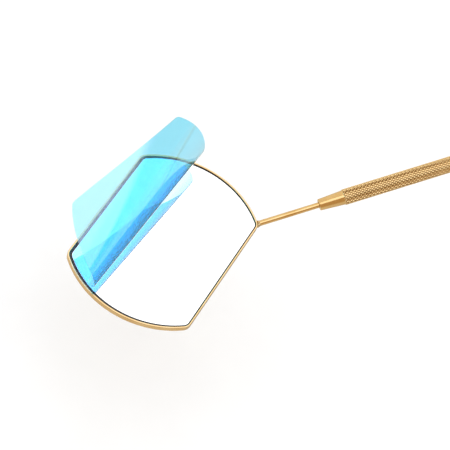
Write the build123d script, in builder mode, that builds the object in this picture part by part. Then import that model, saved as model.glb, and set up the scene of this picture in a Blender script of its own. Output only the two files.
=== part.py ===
from build123d import *
import os
from math import atan2, cos, degrees, radians, sin, sqrt

# Mouth mirror: a barrel-shaped mirror head brazed to a thin stem, whose threaded end screws into a
# knurled handle, with the head's protective film peeled half-way back.
# Millimetres. The origin is the centre of the head's flat back, +Z is the way the mirror faces, and
# +X runs from the head's centre towards the stem, so that the handle's axis lies in XZ.

# ---------------------------------------------------------------- driving dimensions
# Head tray: a circle cut by two parallel flats, with a raised rim
head_diameter = 76.0
head_width = 53.0
corner_radius = 4.0
head_depth = 2.4
rim_width = 0.7
floor_thickness = 0.6
rim_edge_round = 0.2
back_edge_round = 0.45

# Mirror pack, laid into the tray by hand and a little off centre
adhesive_thickness = 0.2
glass_thickness = 1.05
coating_thickness = 0.05
seal_width = 0.75
seal_below_glass = 0.05
glass_shift_x = 0.3
glass_shift_y = 0.2

# Stem: a drawn rod whose end is rolled to an M2.5 thread. Rolling raises the thread above the rod.
# The rod meets the head on its corner, about a degree before the corner runs out into the arc.
stem_diameter = 2.2
stem_length = 24.8
stem_before_corner_end = 1.165
stem_rise_angle = 16.3
stem_root_height = 1.8
stem_plain_entry = 1.0
thread_rise = 0.15
thread_length = 8.0
thread_tip_chamfer = 0.3
thread_clearance = 0.05
bore_relief = 1.5
braze_width = 0.3
braze_length = 0.9

# Handle: a turned cone and a plug pressed into the ends of a knurled tube
cone_mouth_diameter = 4.5
cone_length = 9.8
tube_diameter = 6.3
tube_wall = 0.6
tube_length = 94.0
tube_edge_chamfer = 0.3
shank_length = 8.0
shank_chamfer = 0.3
cone_mouth_round = 0.25
plug_length = 5.5
plug_round = 2.2

# Protective film: stuck down left of the peel line, and rolled up and back over it from there on.
# It rolls round a narrow cone, then round a wider one, and both have their point on the peel line,
# beyond the film's lower end.
film_thickness = 0.12
film_clearance = 0.03
film_inset = 0.1
peel_line_x = -15.95
peel_line_skew = -1.9
hinge_gap = 0.06
curl_point_distance = 90.1
curl_cone_angle = 5.05
curl_turn = 99.6
flap_cone_angle = 15.85
film_grid_along = 30
film_grid_across = 17
film_surface_accuracy = 0.01

# ---------------------------------------------------------------- sizes that follow
head_radius = head_diameter / 2
adhesive_bottom = floor_thickness
glass_bottom = adhesive_bottom + adhesive_thickness
coating_bottom = glass_bottom + glass_thickness
glass_top = coating_bottom + coating_thickness
glass_inset = rim_width + seal_width
film_bottom = glass_top + film_clearance

# The head's own plane: its x axis crosses the flats and its y axis runs along them. The stem's
# bearing is the angle from that x axis to the stem, a little short of where the arc begins.
corner_centre_x = head_width / 2 - corner_radius
corner_centre_y = sqrt((head_radius - corner_radius) ** 2 - corner_centre_x**2)
stem_bearing = degrees(atan2(corner_centre_y, corner_centre_x)) - stem_before_corner_end
head_plane = Plane(
    origin=(0, 0, 0),
    x_dir=(cos(radians(stem_bearing)), -sin(radians(stem_bearing)), 0),
    z_dir=(0, 0, 1),
)
stem_root = Vector(head_radius, 0, stem_root_height)
handle_direction = Vector(cos(radians(stem_rise_angle)), 0, sin(radians(stem_rise_angle)))
handle_axis = Axis(stem_root, handle_direction)
handle_section = Plane(origin=stem_root, x_dir=handle_direction, z_dir=(0, -1, 0))
cone_mouth = stem_length
tube_start = cone_mouth + cone_length
tube_end = tube_start + tube_length
thread_start = cone_mouth + stem_plain_entry
thread_end = thread_start + thread_length
stem_radius = stem_diameter / 2
thread_radius = stem_radius + thread_rise
bore_radius = thread_radius + thread_clearance

# The cone and the plug have shanks that fill the tube's bore, and shoulders as wide as its end face
tube_radius = tube_diameter / 2
shank_radius = tube_radius - tube_wall
shoulder_radius = tube_radius - tube_edge_chamfer


def head_outline(height, inset=0.0, shift=(0.0, 0.0)):
    """The head's outline at a height, drawn a distance inside the tray's outer edge."""
    with BuildSketch(head_plane.offset(height)) as outline:
        with Locations(shift):
            Circle(head_radius - inset)
            Rectangle(head_width - 2 * inset, head_diameter, mode=Mode.INTERSECT)
        fillet(outline.vertices(), corner_radius - inset)
    return outline.sketch


def turned(points):
    """A solid turned about the handle's axis from (distance along it, radius) points."""
    with BuildPart() as solid:
        with BuildSketch(handle_section):
            with BuildLine():
                Polyline(*points, close=True)
            make_face()
        revolve(axis=handle_axis)
    return solid.part


# ---------------------------------------------------------------- head tray
with BuildPart() as head_tray:
    extrude(head_outline(0), amount=head_depth)
    back_edges = head_tray.faces().sort_by(Axis.Z)[0].edges()
    fillet(back_edges, back_edge_round)
    rim_edges = head_tray.faces().sort_by(Axis.Z)[-1].edges()
    fillet(rim_edges, rim_edge_round)
    extrude(head_outline(floor_thickness, rim_width), amount=head_depth, mode=Mode.SUBTRACT)
    inner_edges = head_tray.faces().filter_by(Axis.Z).sort_by(Axis.Z)[-1].inner_wires()[0].edges()
    fillet(inner_edges, rim_edge_round)
head_tray.part.label = "head_tray"

# ---------------------------------------------------------------- mirror pack
glass_shift = (glass_shift_x, glass_shift_y)

with BuildPart() as adhesive_pad:
    extrude(head_outline(adhesive_bottom, glass_inset, glass_shift), amount=adhesive_thickness)
adhesive_pad.part.label = "adhesive_pad"

with BuildPart() as mirror_glass:
    extrude(head_outline(glass_bottom, glass_inset, glass_shift), amount=glass_thickness)
mirror_glass.part.label = "mirror_glass"

with BuildPart() as mirror_coating:
    extrude(head_outline(coating_bottom, glass_inset, glass_shift), amount=coating_thickness)
mirror_coating.part.label = "mirror_coating"

# A bead of black sealant fills the trench between the glass and the tray's wall
seal_height = glass_top - seal_below_glass - floor_thickness
with BuildPart() as edge_seal:
    extrude(head_outline(floor_thickness, rim_width), amount=seal_height)
    extrude(
        head_outline(floor_thickness, glass_inset, glass_shift),
        amount=seal_height,
        mode=Mode.SUBTRACT,
    )
edge_seal.part.label = "edge_seal"

# ---------------------------------------------------------------- stem and its brazed root
# Both are turned from inside the head and cut back to the tray's wall
root_run = 2 * stem_diameter
with BuildPart() as stem:
    add(turned([
        (-root_run, 0),
        (-root_run, stem_radius),
        (thread_start, stem_radius),
        (thread_start, thread_radius),
        (thread_end - thread_tip_chamfer, thread_radius),
        (thread_end, thread_radius - thread_tip_chamfer),
        (thread_end, 0),
    ]))
    extrude(head_outline(0), amount=2 * root_run, both=True, mode=Mode.SUBTRACT)
stem.part.label = "stem"

# The braze metal is a small collar round the rod where it meets the tray's wall
with BuildPart() as stem_braze:
    add(turned([
        (-root_run, stem_radius),
        (-root_run, stem_radius + braze_width),
        (0, stem_radius + braze_width),
        (braze_length, stem_radius),
    ]))
    extrude(head_outline(0), amount=2 * root_run, both=True, mode=Mode.SUBTRACT)
    split(bisect_by=Plane.XY, keep=Keep.TOP)
stem_braze.part.label = "stem_braze"

# ---------------------------------------------------------------- handle
with BuildPart() as front_cone:
    add(turned([
        (cone_mouth, bore_radius),
        (cone_mouth, cone_mouth_diameter / 2),
        (tube_start, shoulder_radius),
        (tube_start, shank_radius),
        (tube_start + shank_length - shank_chamfer, shank_radius),
        (tube_start + shank_length, shank_radius - shank_chamfer),
        (tube_start + shank_length, 0),
        (thread_end + bore_relief, 0),
        (thread_end + bore_relief, bore_radius),
    ]))
    mouth_edge = front_cone.edges().filter_by(GeomType.CIRCLE).group_by(handle_axis)[0].sort_by(
        SortBy.RADIUS
    )[-1]
    fillet(mouth_edge, cone_mouth_round)
front_cone.part.label = "front_cone"

with BuildPart() as handle_tube:
    add(turned([
        (tube_start, shank_radius),
        (tube_start, shoulder_radius),
        (tube_start + tube_edge_chamfer, tube_radius),
        (tube_end - tube_edge_chamfer, tube_radius),
        (tube_end, shoulder_radius),
        (tube_end, shank_radius),
    ]))
handle_tube.part.label = "handle_tube"

with BuildPart() as rear_plug:
    add(turned([
        (tube_end - shank_length, 0),
        (tube_end - shank_length, shank_radius - shank_chamfer),
        (tube_end - shank_length + shank_chamfer, shank_radius),
        (tube_end, shank_radius),
        (tube_end, shoulder_radius),
        (tube_end + plug_length, shoulder_radius),
        (tube_end + plug_length, 0),
    ]))
    end_edge = rear_plug.edges().filter_by(GeomType.CIRCLE).group_by(handle_axis)[-1]
    fillet(end_edge, plug_round)
rear_plug.part.label = "rear_plug"

# ---------------------------------------------------------------- protective film
film_outline_inset = glass_inset + film_inset
film_radius = head_radius - film_outline_inset
film_centre = Vector(glass_shift_x, glass_shift_y, 0)
film_right = glass_shift_x + head_width / 2 - film_outline_inset

# The peel line, in the head's own plane, and the direction in which the film leaves it
peel_start = Vector(peel_line_x, 0, 0)
peel_along = Vector(sin(radians(peel_line_skew)), cos(radians(peel_line_skew)), 0)
peel_across = Vector(peel_along.Y, -peel_along.X, 0)
curl_point = peel_start - peel_along * curl_point_distance
curl_reach = curl_turn * sin(radians(curl_cone_angle))

# The stuck part covers the glass up to the peel line
with BuildPart() as film_stuck:
    extrude(head_outline(film_bottom, film_outline_inset, glass_shift), amount=film_thickness)
    split(bisect_by=Plane(
        origin=head_plane.from_local_coords(peel_start),
        x_dir=(0, 0, 1),
        z_dir=head_plane.from_local_coords(peel_across),
    ), keep=Keep.BOTTOM)
film_stuck.part.label = "film_stuck"


def rolled(line, onward, cone_angle, reach):
    """A line of the film and the way on from it, once the film has rolled on round a cone.

    Reach is the angle at the cone's point, in the flat film, between the old line and the new one.
    """
    cone_axis = line * cos(radians(cone_angle)) + onward.cross(line) * sin(radians(cone_angle))
    turn_axis = Axis((0, 0, 0), cone_axis)
    turn = -reach / sin(radians(cone_angle))
    return line.rotate(turn_axis, turn), onward.rotate(turn_axis, turn)


def film_point(flat_point):
    """Where a point of the film lies, from where it lay in the head's plane before it was peeled."""
    from_curl_point = flat_point - curl_point
    reach = degrees(atan2(from_curl_point.dot(peel_across), from_curl_point.dot(peel_along)))
    narrow_reach = min(reach, curl_reach)
    line, onward = rolled(peel_along, peel_across, curl_cone_angle, narrow_reach)
    line, onward = rolled(line, onward, flap_cone_angle, reach - narrow_reach)
    height = Vector(0, 0, film_bottom)
    return head_plane.from_local_coords(curl_point + line * from_curl_point.length + height)


# The flap is laid out in rows, from the peel line to the film's right edge
film_start = peel_line_x + hinge_gap
film_rows = []
for i in range(film_grid_along):
    share = i / (film_grid_along - 1)
    row_skew = radians(peel_line_skew) * (1 - share)
    row_along = Vector(sin(row_skew), cos(row_skew), 0)
    row_start = Vector(film_start + (film_right - film_start) * share, 0, 0)
    row_middle = row_start + row_along * (film_centre - row_start).dot(row_along)
    half_length = sqrt(film_radius**2 - (film_centre - row_middle).length ** 2)
    film_rows.append([
        film_point(row_middle + row_along * half_length * (2 * j / (film_grid_across - 1) - 1))
        for j in range(film_grid_across)
    ])
film_surface = Face.make_surface_from_array_of_points(film_rows, tol=film_surface_accuracy)

with BuildPart() as film_flap:
    thicken(film_surface, amount=film_thickness)
film_flap.part.label = "film_flap"

# ---------------------------------------------------------------- files
os.makedirs("parts", exist_ok=True)
pieces = [
    head_tray, adhesive_pad, mirror_glass, mirror_coating, edge_seal, stem, stem_braze,
    front_cone, handle_tube, rear_plug, film_stuck, film_flap,
]
for piece in pieces:
    export_step(piece.part, f"parts/{piece.part.label}.step")
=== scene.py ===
from math import atan2, cos, pi, radians, sin, sqrt

import bpy
from mathutils import Matrix, Quaternion, Vector


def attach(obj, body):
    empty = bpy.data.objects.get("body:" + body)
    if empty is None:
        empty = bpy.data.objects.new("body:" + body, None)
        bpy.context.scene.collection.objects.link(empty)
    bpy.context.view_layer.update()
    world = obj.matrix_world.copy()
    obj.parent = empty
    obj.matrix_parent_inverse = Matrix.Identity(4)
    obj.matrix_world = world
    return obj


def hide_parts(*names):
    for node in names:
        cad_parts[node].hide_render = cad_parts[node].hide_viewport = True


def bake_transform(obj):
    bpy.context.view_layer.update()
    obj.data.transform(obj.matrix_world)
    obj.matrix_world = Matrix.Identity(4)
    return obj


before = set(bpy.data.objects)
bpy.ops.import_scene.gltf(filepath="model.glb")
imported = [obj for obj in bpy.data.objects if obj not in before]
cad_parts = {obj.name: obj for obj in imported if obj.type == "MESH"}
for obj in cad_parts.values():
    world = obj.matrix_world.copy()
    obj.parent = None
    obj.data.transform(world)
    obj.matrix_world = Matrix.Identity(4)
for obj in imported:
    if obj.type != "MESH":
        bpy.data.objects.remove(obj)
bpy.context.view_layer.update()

# ---------------------------------------------------------------- head tray
# The shallow tray that carries the mirror: brass sheet, pressed to a circle with two flats and a
# raised lip, then polished and gold plated. Polishing leaves a soft haze and hair-fine marks.
mm = 0.001
tray_gold = (0.80, 0.60, 0.34, 1)
tray_gold_deep = (0.70, 0.48, 0.23, 1)
tray_haze = (0.10, 0.20)
tray_cloud_size = 9 * mm
tray_mark_size = 0.5 * mm
tray_mark_depth = 0.004 * mm


def new_finish(name):
    """A material with its tree's nodes and links, and its one shader."""
    finish = bpy.data.materials.new(name)
    finish.use_nodes = True
    tree = finish.node_tree
    return finish, tree.nodes, tree.links, tree.nodes["Principled BSDF"]


def patches(nodes, links, size, detail=3.0, stretch=(1, 1, 1), turn=(0, 0, 0)):
    """Soft noise whose patches are about that size, laid in the object's own frame."""
    place = nodes.new("ShaderNodeTexCoord").outputs["Object"]
    laid = nodes.new("ShaderNodeMapping")
    laid.vector_type = "TEXTURE"
    laid.inputs["Rotation"].default_value = turn
    laid.inputs["Scale"].default_value = stretch
    noise = nodes.new("ShaderNodeTexNoise")
    noise.inputs["Scale"].default_value = 1 / size
    noise.inputs["Detail"].default_value = detail
    links.new(place, laid.inputs["Vector"])
    links.new(laid.outputs["Vector"], noise.inputs["Vector"])
    return noise.outputs["Fac"]


def spread(nodes, links, value, low, high, start=0.3, end=0.7):
    """The value's middle range, start to end, stretched from low to high."""
    ranged = nodes.new("ShaderNodeMapRange")
    for socket, number in zip(("From Min", "From Max", "To Min", "To Max"),
                              (start, end, low, high)):
        ranged.inputs[socket].default_value = number
    links.new(value, ranged.inputs["Value"])
    return ranged.outputs["Result"]


def between(nodes, links, value, first, second, start=0.3, end=0.7):
    """A colour that goes from first to second as the value goes from start to end."""
    ramp = nodes.new("ShaderNodeValToRGB")
    for stop, position, colour in zip(ramp.color_ramp.elements, (start, end), (first, second)):
        stop.position = position
        stop.color = colour
    links.new(value, ramp.inputs["Fac"])
    return ramp.outputs["Color"]


def relief(nodes, links, shader, value, depth):
    """Raises the shader's surface by up to depth where the value is high."""
    bump = nodes.new("ShaderNodeBump")
    bump.inputs["Distance"].default_value = depth
    links.new(value, bump.inputs["Height"])
    links.new(bump.outputs["Normal"], shader.inputs["Normal"])


def gold_plate(name, gold, deep, haze, cloud, mark, mark_depth,
               stretch=(1, 1, 1), turn=(0, 0, 0)):
    """Gold plate on brass: two tones in soft clouds, a polish that wanders, and tool marks."""
    finish, nodes, links, shader = new_finish(name)
    shader.inputs["Metallic"].default_value = 1.0
    clouds = patches(nodes, links, cloud)
    marks = patches(nodes, links, mark, detail=5.0, stretch=stretch, turn=turn)
    links.new(between(nodes, links, clouds, gold, deep), shader.inputs["Base Color"])
    links.new(spread(nodes, links, marks, *haze), shader.inputs["Roughness"])
    relief(nodes, links, shader, marks, mark_depth)
    return finish


def dress(node, finish):
    """Gives a CAD piece its finish."""
    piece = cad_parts[node]
    piece.data.materials.clear()
    piece.data.materials.append(finish)


dress("head_tray", gold_plate("plated_tray", tray_gold, tray_gold_deep, tray_haze,
                              tray_cloud_size, tray_mark_size, tray_mark_depth))

# ---------------------------------------------------------------- mirror pack
# Double-sided foam tape holds a small slab of float glass, whose front face carries the silver, so
# that the image has no ghost. The front is clean but for a trace of dust and wiping marks.
foam_grey = (0.55, 0.55, 0.53, 1)
foam_dark = (0.38, 0.38, 0.37, 1)
foam_haze = (0.7, 0.9)
foam_cell = 0.15 * mm
foam_cell_depth = 0.03 * mm
glass_tint = (0.80, 0.93, 0.88, 1)
glass_tint_deep = (0.70, 0.88, 0.82, 1)
glass_haze = (0.01, 0.04)
glass_wave_size = 4 * mm
glass_bend = 1.52
silver = (0.965, 0.972, 0.970, 1)
silver_worn = (0.93, 0.94, 0.94, 1)
silver_haze = (0.004, 0.03)
wipe_mark_size = 6 * mm
wipe_mark_stretch = (1, 0.35, 1)

foam, nodes, links, shader = new_finish("foam_tape")
cells = patches(nodes, links, foam_cell, detail=6.0)
links.new(between(nodes, links, cells, foam_grey, foam_dark), shader.inputs["Base Color"])
links.new(spread(nodes, links, cells, *foam_haze), shader.inputs["Roughness"])
relief(nodes, links, shader, cells, foam_cell_depth)
dress("adhesive_pad", foam)

glass, nodes, links, shader = new_finish("float_glass")
shader.inputs["Transmission Weight"].default_value = 1.0
shader.inputs["IOR"].default_value = glass_bend
waves = patches(nodes, links, glass_wave_size)
links.new(between(nodes, links, waves, glass_tint, glass_tint_deep), shader.inputs["Base Color"])
links.new(spread(nodes, links, waves, *glass_haze), shader.inputs["Roughness"])
dress("mirror_glass", glass)

coating, nodes, links, shader = new_finish("front_silver")
shader.inputs["Metallic"].default_value = 1.0
wiping = patches(nodes, links, wipe_mark_size, detail=6.0, stretch=wipe_mark_stretch)
links.new(between(nodes, links, wiping, silver, silver_worn, start=0.45, end=0.9),
          shader.inputs["Base Color"])
links.new(spread(nodes, links, wiping, *silver_haze, start=0.4, end=0.9),
          shader.inputs["Roughness"])
dress("mirror_coating", coating)

# ---------------------------------------------------------------- edge seal
# A bead of black silicone, run by hand round the glass. It wets the tray's wall a little higher
# than the glass, sags between them and is nowhere quite even.
head_radius = 38 * mm
head_half_width = 26.5 * mm
corner_radius = 4 * mm
head_bearing = radians(47.4)
rim_width = 0.7 * mm
seal_width = 0.75 * mm
glass_shift = Vector((0.3 * mm, 0.2 * mm, 0))
seal_bottom = 0.6 * mm
seal_wall_top = 2.02 * mm
seal_sag_top = 1.74 * mm
seal_glass_top = 1.88 * mm
seal_wander = 0.05 * mm
seal_waves = (5, 13, 31)
seal_steps_along = 420
seal_black = (0.006, 0.006, 0.007, 1)
seal_black_worn = (0.020, 0.019, 0.020, 1)
seal_haze = (0.08, 0.22)
seal_mark_size = 0.8 * mm
seal_mark_depth = 0.02 * mm

to_head = Matrix.Rotation(-head_bearing, 3, "Z")


def head_loop(inset, steps, shift=Vector()):
    """Points round the head's outline, a distance inside its edge, in the head's own plane.

    They stand at the same shares of each arc, corner and flat whatever the inset is.
    """
    radius, half_width, corner = head_radius - inset, head_half_width - inset, corner_radius - inset
    centre_x = half_width - corner
    centre_y = sqrt((radius - corner) ** 2 - centre_x ** 2)
    corner_turn = atan2(centre_y, centre_x)
    shares = (0.10, 0.03, 0.24, 0.03, 0.10)
    points = []
    for side in (1, -1):
        for share, part in zip(shares, ("flat", "corner", "arc", "corner back", "flat back")):
            count = round(steps * share)
            for k in range(count):
                t = k / count
                if part == "flat":
                    p = Vector((half_width, centre_y * t, 0))
                elif part == "corner":
                    a = corner_turn * t
                    p = Vector((centre_x + corner * cos(a), centre_y + corner * sin(a), 0))
                elif part == "arc":
                    a = corner_turn + (pi - 2 * corner_turn) * t
                    p = Vector((radius * cos(a), radius * sin(a), 0))
                elif part == "corner back":
                    a = pi - corner_turn + corner_turn * t
                    p = Vector((-centre_x + corner * cos(a), centre_y + corner * sin(a), 0))
                else:
                    p = Vector((-half_width, centre_y * (1 - t), 0))
                points.append(p * side + shift)
    return points


def skin(name, rows, finish, slot, body, node, sharp):
    """A piece skinned over rows of points, each row a closed loop, and the last joins the first."""
    across = len(rows[0])
    points = [p for row in rows for p in row]
    faces = []
    for i in range(len(rows)):
        here, there = i * across, (i + 1) % len(rows) * across
        for j in range(across):
            k = (j + 1) % across
            faces.append((here + j, here + k, there + k, there + j))
    finished(name, points, faces, finish, slot, body, node, sharp=sharp)


def finished(name, points, faces, finish, slot, body, *nodes, sharp):
    """The piece itself, with its corners kept crisp, its finish, its body and its CAD nodes."""
    mesh = bpy.data.meshes.new(name)
    mesh.from_pydata(points, [], faces)
    mesh.validate()
    mesh.polygons.foreach_set("use_smooth", [True] * len(mesh.polygons))
    mesh.set_sharp_from_angle(angle=radians(sharp))
    mesh.materials.append(finish)
    piece = bpy.data.objects.new(name, mesh)
    bpy.context.scene.collection.objects.link(piece)
    if body:
        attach(piece, body)
    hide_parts(*nodes)
    return piece


silicone, nodes, links, shader = new_finish("black_silicone")
skin_marks = patches(nodes, links, seal_mark_size, detail=5.0)
links.new(between(nodes, links, skin_marks, seal_black, seal_black_worn),
          shader.inputs["Base Color"])
links.new(spread(nodes, links, skin_marks, *seal_haze), shader.inputs["Roughness"])
relief(nodes, links, shader, skin_marks, seal_mark_depth)

wall_loop = head_loop(rim_width, seal_steps_along)
glass_loop = head_loop(rim_width + seal_width, seal_steps_along, glass_shift)
# across the bead, from the tray's wall to the glass: the share of the way, and the height there
seal_profile = [(0.0, seal_bottom), (0.0, seal_wall_top), (0.18, seal_sag_top + 0.08 * mm),
                (0.45, seal_sag_top), (0.75, seal_sag_top + 0.04 * mm), (0.999, seal_glass_top),
                (0.999, seal_bottom)]
seal_rows = []
for step, (wall, edge) in enumerate(zip(wall_loop, glass_loop)):
    round_trip = 2 * pi * step / len(wall_loop)
    slow, middle, quick = (count * round_trip for count in seal_waves)
    wander = seal_wander * (sin(slow) + sin(middle + 1) + sin(quick)) / 3
    row = []
    for share, height in seal_profile:
        lifted = height + (wander if 0 < share < 0.99 else 0)
        row.append(to_head @ (wall.lerp(edge, share) + Vector((0, 0, lifted))))
    seal_rows.append(row)
skin("seal_bead", seal_rows, silicone, "black_sealant", "head", "edge_seal", sharp=60)

# ---------------------------------------------------------------- stem
# A rod of brass wire, drawn to size, gold plated, and butted against the tray's wall. Its far end
# is rolled to a fine thread, which screws into the handle's cone.
stem_root = Vector((head_radius, 0, 1.8 * mm))
handle_rise = radians(16.3)
handle_along = Vector((cos(handle_rise), 0, sin(handle_rise)))
handle_side = Vector((0, 1, 0))
handle_up = handle_along.cross(handle_side)
stem_radius = 1.1 * mm
thread_start = 25.8 * mm
thread_length = 8 * mm
thread_crest = 1.25 * mm
thread_valley = 0.98 * mm
thread_pitch = 0.45 * mm
thread_runout = 0.6 * mm
thread_tip_chamfer = 0.3 * mm
thread_flank = 1.25
thread_rows_per_turn = 9
rod_steps_round = 48
rod_steps_along = (1.5, 4, 8, 12, 16, 20, 24)
rod_end_hole = 0.02 * mm
drawn_gold = (0.83, 0.61, 0.32, 1)
drawn_gold_deep = (0.73, 0.49, 0.21, 1)
drawn_haze = (0.10, 0.19)
drawn_cloud_size = 6 * mm
drawn_mark_size = 0.25 * mm
drawn_mark_depth = 0.003 * mm
drawn_mark_stretch = (14, 1, 1)


def on_handle(distance, radius, angle):
    """A point a distance along the handle's axis from the stem's root."""
    return stem_root + handle_along * distance + radius * (
        handle_side * cos(angle) + handle_up * sin(angle))


def ring(distance, radius, steps):
    """A loop of points round the handle's axis. Radius may depend on the angle."""
    angles = [2 * pi * k / steps for k in range(steps)]
    return [on_handle(distance, radius(a) if callable(radius) else radius, a) for a in angles]


def drawn_ring_at_wall(radius, steps):
    """The loop where a rod of that radius meets the tray's round wall."""
    points = []
    for p in ring(0, radius, steps):
        back = p.x - sqrt(head_radius ** 2 - p.y ** 2)
        points.append(p - handle_along * (back / handle_along.x))
    return points


def thread_radius(distance, angle):
    """Rolled thread: a ridge that climbs one pitch for each turn, fading in at its start."""
    along = distance - thread_start
    turn_place = (along / thread_pitch - angle / (2 * pi)) % 1
    ridge = min(1.0, thread_flank * (1 - abs(2 * turn_place - 1)))
    cut = thread_valley + (thread_crest - thread_valley) * ridge
    share = min(1, max(0, along / thread_runout))
    tip = thread_crest - thread_tip_chamfer + (thread_length - along)
    return min(stem_radius + (cut - stem_radius) * share, tip)


stem_rows = [drawn_ring_at_wall(radius, rod_steps_round) for radius in (rod_end_hole, stem_radius)]
for distance in rod_steps_along:
    stem_rows.append(ring(distance * mm, stem_radius, rod_steps_round))
thread_rows = round(thread_length / thread_pitch * thread_rows_per_turn)
for step in range(thread_rows + 1):
    distance = thread_start + thread_length * step / thread_rows
    stem_rows.append(ring(distance, lambda a: thread_radius(distance, a), rod_steps_round))
stem_rows.append(ring(thread_start + thread_length, rod_end_hole, rod_steps_round))

drawn_finish = gold_plate("drawn_rod", drawn_gold, drawn_gold_deep, drawn_haze, drawn_cloud_size,
                          drawn_mark_size, drawn_mark_depth, stretch=drawn_mark_stretch,
                          turn=(0, -handle_rise, 0))
skin("threaded_stem", stem_rows, drawn_finish, "polished_gold", "head", "stem", sharp=35)

# ---------------------------------------------------------------- braze
# A thin collar of braze metal, drawn into the corner between the rod and the wall when they were
# joined. It cooled with a slightly frosted, paler face.
braze_gold = (0.74, 0.58, 0.34, 1)
braze_gold_deep = (0.60, 0.40, 0.19, 1)
braze_haze = (0.24, 0.40)
braze_cloud_size = 1.2 * mm
braze_grain_size = 0.12 * mm
braze_grain_depth = 0.02 * mm
braze_finish = gold_plate("braze_collar", braze_gold, braze_gold_deep, braze_haze,
                          braze_cloud_size, braze_grain_size, braze_grain_depth)
dress("stem_braze", braze_finish)

# ---------------------------------------------------------------- cone
# The handle's front end, turned from brass bar and pressed into the knurled tube. A fine tool left
# rings round it, which the plating still shows.
cone_haze = (0.10, 0.18)
cone_cloud_size = 7 * mm
tool_ring_width = 0.10 * mm
tool_ring_depth = 0.004 * mm
tool_ring_stretch = (1, 40, 40)
cone_finish = gold_plate("turned_cone", drawn_gold, drawn_gold_deep, cone_haze, cone_cloud_size,
                         tool_ring_width, tool_ring_depth, stretch=tool_ring_stretch,
                         turn=(0, -handle_rise, 0))
dress("front_cone", cone_finish)

# ---------------------------------------------------------------- knurled tube
# The grip: brass tube, rolled between two wheels that press in crossing grooves, so that rows of
# small raised diamonds stand up. Random rubbed patches leave the crests paler, and the grooves are
# painted dark brown as painted shade.
tube_start = 34.6 * mm
tube_length = 94 * mm
tube_radius = 3.15 * mm
tube_bore_radius = 2.55 * mm
tube_end_chamfer = 0.3 * mm
knurl_pitch = 1.5 * mm
knurl_starts = 18
knurl_depth = 0.24 * mm
knurl_samples = 8
knurl_crest_flat = 0.2
knurl_gold = (0.98, 0.76, 0.42, 1)
# dark brown painted into the grooves as painted shade
knurl_groove_shade = (0.30, 0.14, 0.035, 1)
knurl_haze = (0.10, 0.20)
knurl_mark_size = 0.2 * mm
knurl_mark_depth = 0.006 * mm
rubbed_patch_size = 3 * mm
rubbed_share = 0.35


def knurl_height(distance, angle):
    """From 0 in a groove to 1 on a diamond's top, for two sets of crossing grooves."""
    along, around = distance / knurl_pitch, knurl_starts * angle / (2 * pi)
    to_groove = min(abs((around + along + 0.5) % 1 - 0.5), abs((around - along + 0.5) % 1 - 0.5))
    return min(1.0, 2 * to_groove / (1 - knurl_crest_flat))


tube_across = knurl_starts * knurl_samples
tube_rows = round(tube_length / knurl_pitch * knurl_samples) + 1
tube_points, tube_groove = [], []
for i in range(tube_rows):
    distance = tube_length * i / (tube_rows - 1)
    chamfered = tube_radius - max(0, tube_end_chamfer - min(distance, tube_length - distance))
    for j in range(tube_across):
        angle = 2 * pi * j / tube_across
        height = knurl_height(distance, angle)
        radius = min(tube_radius - knurl_depth * (1 - height), chamfered)
        tube_points.append(on_handle(tube_start + distance, radius, angle))
        tube_groove.append(height)
tube_faces = []
for i in range(tube_rows - 1):
    for j in range(tube_across):
        k = (j + 1) % tube_across
        a, b = i * tube_across + j, i * tube_across + k
        c, d = (i + 1) * tube_across + k, (i + 1) * tube_across + j
        if abs(tube_groove[a] - tube_groove[c]) < abs(tube_groove[b] - tube_groove[d]):
            tube_faces += [(a, b, c), (a, c, d)]
        else:
            tube_faces += [(a, b, d), (b, c, d)]
# The two ends and the bore close the tube
bore_first = len(tube_points)
for distance in (tube_start, tube_start + tube_length):
    tube_points += ring(distance, tube_bore_radius, tube_across)
    tube_groove += [0.5] * tube_across
last_row = (tube_rows - 1) * tube_across
for j in range(tube_across):
    k = (j + 1) % tube_across
    tube_faces.append((bore_first + j, bore_first + k, k, j))
    tube_faces.append((last_row + j, last_row + k, bore_first + tube_across + k,
                       bore_first + tube_across + j))
    tube_faces.append((bore_first + tube_across + j, bore_first + tube_across + k,
                       bore_first + k, bore_first + j))

knurl_finish, nodes, links, shader = new_finish("knurled_gold_plate")
shader.inputs["Metallic"].default_value = 1.0
groove = nodes.new("ShaderNodeAttribute")
groove.attribute_name = "groove"
rubbing = patches(nodes, links, rubbed_patch_size)
marks = patches(nodes, links, knurl_mark_size, detail=5.0)
# colour mask: random rubbed patches (wear) plus height above the groove floor, whose dark low end
# is painted shade in the grooves
rubbed_and_groove_shade = nodes.new("ShaderNodeMath")
rubbed_and_groove_shade.operation = "MULTIPLY_ADD"
links.new(rubbing, rubbed_and_groove_shade.inputs[0])
rubbed_and_groove_shade.inputs[1].default_value = rubbed_share
links.new(groove.outputs["Fac"], rubbed_and_groove_shade.inputs[2])
links.new(between(nodes, links, rubbed_and_groove_shade.outputs[0], knurl_groove_shade, knurl_gold, start=0.15, end=0.9),
          shader.inputs["Base Color"])
links.new(spread(nodes, links, marks, *knurl_haze), shader.inputs["Roughness"])
relief(nodes, links, shader, marks, knurl_mark_depth)
tube = finished("knurled_tube", tube_points, tube_faces, knurl_finish, "knurled_gold", "handle",
                "handle_tube", sharp=20)
tube.data.attributes.new("groove", "FLOAT", "POINT").data.foreach_set("value", tube_groove)

# ---------------------------------------------------------------- rear plug
# A turned plug with a domed end, pressed into the tube and polished.
plug_haze = (0.09, 0.18)
plug_cloud_size = 5 * mm
plug_finish = gold_plate("turned_plug", drawn_gold, drawn_gold_deep, plug_haze, plug_cloud_size,
                         tool_ring_width, tool_ring_depth, stretch=tool_ring_stretch,
                         turn=(0, -handle_rise, 0))
dress("rear_plug", plug_finish)

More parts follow.
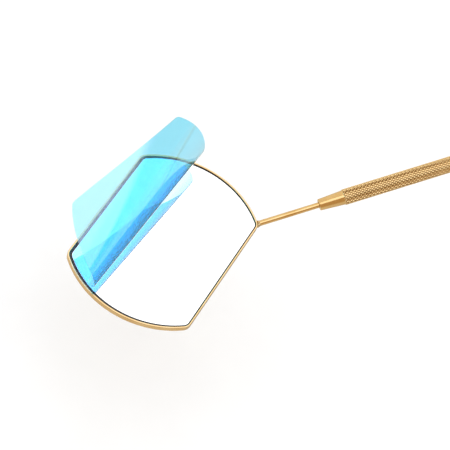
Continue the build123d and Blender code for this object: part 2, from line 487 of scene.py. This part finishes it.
# ---------------------------------------------------------------- protective film
# Clear blue film, die-cut a little smaller than the mirror and stuck to it by cling alone. It has
# been peeled half-way: it leaves the glass along a slanting line, rolls round a narrow cone and
# goes on round a wider one, so that the flap leans back over the part that is still down.
film_thickness = 0.12 * mm
film_bottom = 1.93 * mm
film_inset = 1.55 * mm
peel_line_x = -15.95 * mm
peel_line_skew = radians(-1.9)
curl_point_distance = 90.1 * mm
curl_cone_angle = radians(5.05)
curl_turn = radians(99.6)
flap_cone_angle = radians(15.85)
film_rows_along = 130
film_rows_across = 48
film_rows_crowding = 0.35
film_blue = (0.34, 0.81, 0.97, 1)
film_blue_deep = (0.32, 0.79, 0.96, 1)
film_bend = 1.55
film_gloss_bend = 1.7
film_gloss_haze = 0.04
film_haze = (0.0, 0.004)
film_dust_size = 0.6 * mm
film_streak_size = 5 * mm
film_streak_depth = 0.002 * mm

peel_along = Vector((sin(peel_line_skew), cos(peel_line_skew), 0))
peel_across = Vector((peel_along.y, -peel_along.x, 0))
curl_point = Vector((peel_line_x, 0, 0)) - peel_along * curl_point_distance
curl_reach = curl_turn * sin(curl_cone_angle)


def rolled(line, onward, cone_angle, reach):
    """A line of the film and the way on from it, once the film has rolled on round a cone."""
    cone_axis = line * cos(cone_angle) + onward.cross(line) * sin(cone_angle)
    roll = Quaternion(cone_axis, -reach / sin(cone_angle))
    return roll @ line, roll @ onward


def film_point(x, y, height):
    """Where a point of the flat film lies now, a height above the film's underside."""
    flat = Vector((x, y, 0)) - curl_point
    reach = atan2(flat.dot(peel_across), flat.dot(peel_along))
    if reach <= 0:
        return to_head @ Vector((x, y, film_bottom + height))
    narrow_reach = min(reach, curl_reach)
    line, onward = rolled(peel_along, peel_across, curl_cone_angle, narrow_reach)
    line, onward = rolled(line, onward, flap_cone_angle, reach - narrow_reach)
    upper_side = onward.cross(line)
    return to_head @ (curl_point + line * flat.length + upper_side * height
                      + Vector((0, 0, film_bottom)))


def film_half_length(x):
    """Half the film's length along the flats, at a distance from its middle."""
    radius, half_width = head_radius - film_inset, head_half_width - film_inset
    corner = corner_radius - film_inset
    centre_x = half_width - corner
    centre_y = sqrt((radius - corner) ** 2 - centre_x ** 2)
    x = min(abs(x), half_width)
    if x > radius * centre_x / (radius - corner):
        return centre_y + sqrt(max(0, corner ** 2 - (x - centre_x) ** 2))
    return sqrt(radius ** 2 - x ** 2)


film_half_width = head_half_width - film_inset
film_points, film_faces = [], []
for height in (0, film_thickness):
    for i in range(film_rows_along + 1):
        share = 2 * i / film_rows_along - 1
        crowded = sin(share * pi / 2)
        x = film_half_width * (crowded * film_rows_crowding + share * (1 - film_rows_crowding))
        half_length = film_half_length(x)
        for j in range(film_rows_across + 1):
            y = half_length * (2 * j / film_rows_across - 1)
            film_points.append(film_point(x + glass_shift.x, y + glass_shift.y, height))
per_row = film_rows_across + 1
per_side = (film_rows_along + 1) * per_row
for i in range(film_rows_along):
    for j in range(film_rows_across):
        a, b = i * per_row + j, (i + 1) * per_row + j
        film_faces.append((a, a + 1, b + 1, b))
        film_faces.append((a + per_side, b + per_side, b + per_side + 1, a + per_side + 1))
for i in range(film_rows_along):
    for j in (0, film_rows_across):
        a, b = i * per_row + j, (i + 1) * per_row + j
        film_faces.append((a, b, b + per_side, a + per_side)[::1 if j == 0 else -1])
for j in range(film_rows_across):
    for i in (0, film_rows_along):
        a = i * per_row + j
        film_faces.append((a, a + 1, a + 1 + per_side, a + per_side)[::-1 if i == 0 else 1])

film_finish, nodes, links, shader = new_finish("blue_film")
shader.inputs["Transmission Weight"].default_value = 1.0
shader.inputs["IOR"].default_value = film_bend
shader.inputs["Coat Weight"].default_value = 1.0
shader.inputs["Coat IOR"].default_value = film_gloss_bend
shader.inputs["Coat Roughness"].default_value = film_gloss_haze
streaks = patches(nodes, links, film_streak_size, detail=4.0)
dust = patches(nodes, links, film_dust_size, detail=5.0)
links.new(between(nodes, links, streaks, film_blue, film_blue_deep), shader.inputs["Base Color"])
links.new(spread(nodes, links, dust, *film_haze), shader.inputs["Roughness"])
relief(nodes, links, shader, streaks, film_streak_depth)
film = finished("cling_film", film_points, film_faces, film_finish, "blue_film", None,
                "film_stuck", "film_flap", sharp=50)
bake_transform(film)

# ---------------------------------------------------------------- floor
# A plain pale sweep of card, well under the piece. It is seen from above only, and polished metal
# doesn't mirror it.
floor_height = -70 * mm
floor_half = 6.0
floor_white = (0.93, 0.93, 0.93, 1)
floor_white_deep = (0.90, 0.90, 0.90, 1)
floor_haze = 0.9
floor_cloud_size = 40 * mm
floor_corners = ((-1, -1), (1, -1), (1, 1), (-1, 1))
floor_mesh = bpy.data.meshes.new("floor")
floor_mesh.from_pydata([(x * floor_half, y * floor_half, floor_height) for x, y in floor_corners],
                       [], [(0, 1, 2, 3)])
floor = bpy.data.objects.new("floor", floor_mesh)
bpy.context.scene.collection.objects.link(floor)
floor_finish, nodes, links, shader = new_finish("pale_floor")
clouds = patches(nodes, links, floor_cloud_size)
links.new(between(nodes, links, clouds, floor_white, floor_white_deep),
          shader.inputs["Base Color"])
shader.inputs["Roughness"].default_value = floor_haze
side_seen = nodes.new("ShaderNodeNewGeometry")
one_sided = nodes.new("ShaderNodeMixShader")
links.new(side_seen.outputs["Backfacing"], one_sided.inputs["Fac"])
links.new(shader.outputs["BSDF"], one_sided.inputs[1])
links.new(nodes.new("ShaderNodeBsdfTransparent").outputs["BSDF"], one_sided.inputs[2])
links.new(one_sided.outputs["Shader"], nodes["Material Output"].inputs["Surface"])
floor_mesh.materials.append(floor_finish)
floor.visible_glossy = False

# ---------------------------------------------------------------- light
# A soft white room. Polished metal and gloss see it as a studio: a wide soft panel at the front, a
# patch overhead, pale walls behind, warm ones at the front, and a pale floor. What is seen through
# the film is brighter overhead.
panel_edge = (0.509, 0.859, 0.047)
panel_foot = (0.62, 0.55, 0.56)
overhead_way = (0.315, 0.46, 0.83)
straight_up = (0, 0, 1)
back_way = (-0.5, 0.866, 0)
far_way = (1, 0, 0)
even_light = 1.2
panel_light = 1.6
back_light = 0.98
side_light = 0.59
far_side_light = 0.16
low_light = 0.82
far_low_light = 0.60
through_light = 1.45
overhead_light = 3.4
white_wall = (1, 1, 1, 1)
soft_wall = (1.0, 0.91, 0.74, 1)
warm_wall = (1.0, 0.68, 0.34, 1)
cool_wall = (0.60, 1.0, 1.0, 1)
pink_ceiling = (1.0, 0.65, 0.94, 1)

room = bpy.data.worlds.new("studio")
bpy.context.scene.world = room
room.use_nodes = True
nodes, links = room.node_tree.nodes, room.node_tree.links
outward = nodes.new("ShaderNodeTexCoord").outputs["Generated"]


def toward(way, start, end):
    """From 0 to 1 as the direction turns towards a way, from a cosine of start to one of end."""
    turned_to = nodes.new("ShaderNodeVectorMath")
    turned_to.operation = "DOT_PRODUCT"
    links.new(outward, turned_to.inputs[0])
    turned_to.inputs[1].default_value = way
    return spread(nodes, links, turned_to.outputs["Value"], 0, 1, start, end)


def combined(operation, first, second):
    """Two shares of the room put together."""
    both = nodes.new("ShaderNodeMath")
    both.operation = operation
    both.use_clamp = True
    links.new(first, both.inputs[0])
    links.new(second, both.inputs[1])
    return both.outputs[0]


def backdrop(level, colour=white_wall):
    """An even light of that strength."""
    light = nodes.new("ShaderNodeBackground")
    light.inputs["Strength"].default_value = level
    light.inputs["Color"].default_value = colour
    return light.outputs["Background"]


def mixed(share, first, second):
    """The first light where the share is 0, the second where it is 1."""
    mix = nodes.new("ShaderNodeMixShader")
    links.new(share, mix.inputs["Fac"])
    links.new(first, mix.inputs[1])
    links.new(second, mix.inputs[2])
    return mix.outputs["Shader"]


front_panel = combined("MULTIPLY", toward(panel_edge, 0.01, -0.01), toward(panel_foot, 0.07, 0.16))
overhead = combined("MAXIMUM", toward(overhead_way, 0.955, 0.972), toward(straight_up, 0.965, 0.98))
far_side = toward(far_way, 0.2, 0.6)
side = mixed(far_side, backdrop(side_light, warm_wall), backdrop(far_side_light, warm_wall))
low = mixed(far_side, backdrop(low_light, soft_wall), backdrop(far_low_light))
walls = mixed(toward(back_way, -0.05, 0.35), side, backdrop(back_light, soft_wall))
unlit = mixed(toward(straight_up, -0.30, 0.15), low, walls)
seen_in_metal = mixed(combined("MAXIMUM", front_panel, overhead), unlit, backdrop(panel_light))
seen_through_film = mixed(toward(straight_up, 0.5, 0.7), backdrop(through_light, cool_wall),
                          backdrop(overhead_light, pink_ceiling))
ray = nodes.new("ShaderNodeLightPath")
seen = mixed(ray.outputs["Is Glossy Ray"], backdrop(even_light), seen_in_metal)
seen = mixed(ray.outputs["Is Transmission Ray"], seen, seen_through_film)
links.new(seen, nodes["World Output"].inputs["Surface"])

# ---------------------------------------------------------------- camera
# A long lens, above and to the left of the head, that looks down on the mirror.
view_from = Vector((-206.9, -306.85, 566.85)) * mm
view_along = Vector((0.3391, 0.4511, -0.8255)).normalized()
view_up = Vector((0.1540, 0.8391, 0.5217)).normalized()
lens_length = 144
film_gate = 36
light_bounces = 24
camera = bpy.data.objects.new("camera", bpy.data.cameras.new("camera"))
bpy.context.scene.collection.objects.link(camera)
camera.data.lens = lens_length
camera.data.sensor_width = film_gate
camera.data.clip_start = 0.01
camera.data.clip_end = 50
turned = Matrix((view_along.cross(view_up), view_up, -view_along)).transposed()
camera.matrix_world = Matrix.Translation(view_from) @ turned.to_4x4()
bpy.context.scene.camera = camera
bpy.context.scene.view_settings.view_transform = "Standard"
bpy.context.scene.cycles.max_bounces = light_bounces
bpy.context.scene.cycles.transmission_bounces = light_bounces
